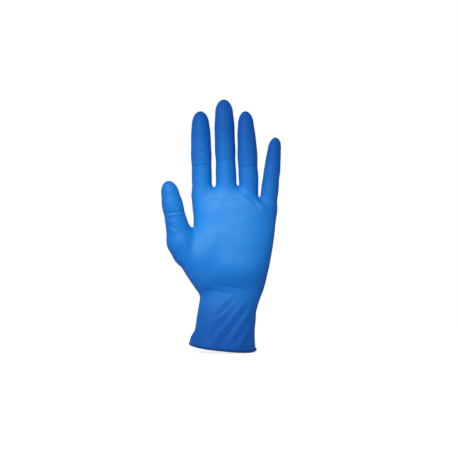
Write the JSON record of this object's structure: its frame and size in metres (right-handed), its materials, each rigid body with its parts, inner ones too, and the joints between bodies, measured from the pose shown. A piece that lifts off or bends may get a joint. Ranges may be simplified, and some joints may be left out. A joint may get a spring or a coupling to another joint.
{
  "type": "disposable glove",
  "caption": "Thin dipped nitrile glove for the left hand, standing open with its fingers straight, a smooth palm and a rolled rim at the cuff.",
  "frame": {"origin": "centre of the cuff's opening, level with the rim's lowest point", "axes": "+Z from the cuff to the fingertips, the palm faces -Y, the thumb is at -X"},
  "size_m": [0.1137, 0.05, 0.2399],
  "materials": {
    "nitrile_film": "satin",
    "nitrile_bead": "satin"
  },
  "bodies": {
    "cuff": {"cuff": "nitrile_film", "cuff_bead": "nitrile_bead"},
    "wrist": {"wrist": "nitrile_film"},
    "palm": {"palm": "nitrile_film", "middle_collar": "nitrile_film"},
    "thumb_base": {"thumb_base": "nitrile_film"},
    "thumb_proximal": {"thumb_proximal": "nitrile_film"},
    "thumb_tip": {"thumb_tip": "nitrile_film"},
    "index_collar": {"index_collar": "nitrile_film"},
    "index_proximal": {"index_proximal": "nitrile_film"},
    "index_middle": {"index_middle": "nitrile_film"},
    "index_tip": {"index_tip": "nitrile_film"},
    "middle_proximal": {"middle_proximal": "nitrile_film"},
    "middle_middle": {"middle_middle": "nitrile_film"},
    "middle_tip": {"middle_tip": "nitrile_film"},
    "ring_collar": {"ring_collar": "nitrile_film"},
    "ring_proximal": {"ring_proximal": "nitrile_film"},
    "ring_middle": {"ring_middle": "nitrile_film"},
    "ring_tip": {"ring_tip": "nitrile_film"},
    "little_collar": {"little_collar": "nitrile_film"},
    "little_proximal": {"little_proximal": "nitrile_film"},
    "little_middle": {"little_middle": "nitrile_film"},
    "little_tip": {"little_tip": "nitrile_film"}
  },
  "joints": [
    {"name": "wrist_sideways", "type": "hinge", "parent": "cuff", "child": "wrist", "pos_m": [0.007, 0, 0.038], "axis": [0, 1, 0], "range_deg": [-18, 18], "stiffness_Nm_per_rad": 0.05},
    {"name": "wrist_forward", "type": "hinge", "parent": "wrist", "child": "palm", "pos_m": [0.008, 0, 0.0475], "axis": [1, 0, 0], "range_deg": [-45, 45], "stiffness_Nm_per_rad": 0.05},
    {"name": "index_spread", "type": "hinge", "parent": "palm", "child": "index_collar", "pos_m": [-0.01901, 0.00097, 0.157], "axis": [0, 1, 0], "range_deg": [-12, 0], "stiffness_Nm_per_rad": 0.004},
    {"name": "index_flex", "type": "hinge", "parent": "index_collar", "child": "index_proximal", "pos_m": [-0.01918, 0.00051, 0.16448], "axis": [0.9998, -0.0014, 0.022], "range_deg": [0, 65], "stiffness_Nm_per_rad": 0.003},
    {"name": "index_curl", "type": "hinge", "parent": "index_proximal", "child": "index_middle", "pos_m": [-0.01947, -0.00033, 0.17795], "axis": [0.9998, -0.0014, 0.022], "range_deg": [0, 75], "stiffness_Nm_per_rad": 0.002},
    {"name": "index_tip_curl", "type": "hinge", "parent": "index_middle", "child": "index_tip", "pos_m": [-0.01997, -0.00172, 0.2004], "axis": [0.9998, -0.0014, 0.022], "range_deg": [0, 38]},
    {"name": "middle_flex", "type": "hinge", "parent": "palm", "child": "middle_proximal", "pos_m": [0.00404, 0.00052, 0.16448], "axis": [0.9995, -0.0019, 0.0322], "range_deg": [0, 65], "stiffness_Nm_per_rad": 0.003},
    {"name": "middle_curl", "type": "hinge", "parent": "middle_proximal", "child": "middle_middle", "pos_m": [0.00349, -0.00049, 0.18144], "axis": [0.9995, -0.0019, 0.0322], "range_deg": [0, 75], "stiffness_Nm_per_rad": 0.002},
    {"name": "middle_tip_curl", "type": "hinge", "parent": "middle_middle", "child": "middle_tip", "pos_m": [0.00262, -0.00211, 0.20838], "axis": [0.9995, -0.0019, 0.0322], "range_deg": [0, 38]},
    {"name": "ring_spread", "type": "hinge", "parent": "palm", "child": "ring_collar", "pos_m": [0.02568, 0.00104, 0.15649], "axis": [0, -1, 0], "range_deg": [-7, 0], "stiffness_Nm_per_rad": 0.004},
    {"name": "ring_flex", "type": "hinge", "parent": "ring_collar", "child": "ring_proximal", "pos_m": [0.02534, 0.00061, 0.16347], "axis": [0.9964, -0.0726, 0.0433], "range_deg": [0, 65], "stiffness_Nm_per_rad": 0.003},
    {"name": "ring_curl", "type": "hinge", "parent": "ring_proximal", "child": "ring_middle", "pos_m": [0.0247, -0.00024, 0.17693], "axis": [0.9964, -0.0726, 0.0433], "range_deg": [0, 75], "stiffness_Nm_per_rad": 0.002},
    {"name": "ring_tip_curl", "type": "hinge", "parent": "ring_middle", "child": "ring_tip", "pos_m": [0.02357, -0.0017, 0.20036], "axis": [0.9964, -0.0726, 0.0433], "range_deg": [0, 38]},
    {"name": "little_spread", "type": "hinge", "parent": "palm", "child": "little_collar", "pos_m": [0.04466, 0.00137, 0.1465], "axis": [0, -1, 0], "range_deg": [-15, 0], "stiffness_Nm_per_rad": 0.004},
    {"name": "little_flex", "type": "hinge", "parent": "little_collar", "child": "little_proximal", "pos_m": [0.0455, 0.001, 0.15394], "axis": [0.9912, 0.0753, -0.109], "range_deg": [0, 60], "stiffness_Nm_per_rad": 0.003},
    {"name": "little_curl", "type": "hinge", "parent": "little_proximal", "child": "little_middle", "pos_m": [0.0468, 0.00043, 0.16535], "axis": [0.9912, 0.0753, -0.109], "range_deg": [0, 75], "stiffness_Nm_per_rad": 0.002},
    {"name": "little_tip_curl", "type": "hinge", "parent": "little_middle", "child": "little_tip", "pos_m": [0.04861, -0.00036, 0.18123], "axis": [0.9912, 0.0753, -0.109], "range_deg": [0, 38]},
    {"name": "thumb_opposition", "type": "hinge", "parent": "palm", "child": "thumb_base", "pos_m": [-0.015, -0.004, 0.068], "axis": [0.8336, 0, 0.5524], "range_deg": [0, 45], "stiffness_Nm_per_rad": 0.006},
    {"name": "thumb_bend", "type": "hinge", "parent": "thumb_base", "child": "thumb_proximal", "pos_m": [-0.04104, -0.01117, 0.11372], "axis": [-0.6879, -0.6892, -0.2279], "range_deg": [-45, 0], "stiffness_Nm_per_rad": 0.004},
    {"name": "thumb_tip_bend", "type": "hinge", "parent": "thumb_proximal", "child": "thumb_tip", "pos_m": [-0.04489, -0.01338, 0.13199], "axis": [-0.6879, -0.6892, -0.2279], "range_deg": [-70, 0], "stiffness_Nm_per_rad": 0.002}
  ],
  "couplings": [
    {"joint": "index_tip_curl", "follows": "index_curl", "ratio": 0.5},
    {"joint": "middle_tip_curl", "follows": "middle_curl", "ratio": 0.5},
    {"joint": "ring_tip_curl", "follows": "ring_curl", "ratio": 0.5},
    {"joint": "little_tip_curl", "follows": "little_curl", "ratio": 0.5}
  ]
}
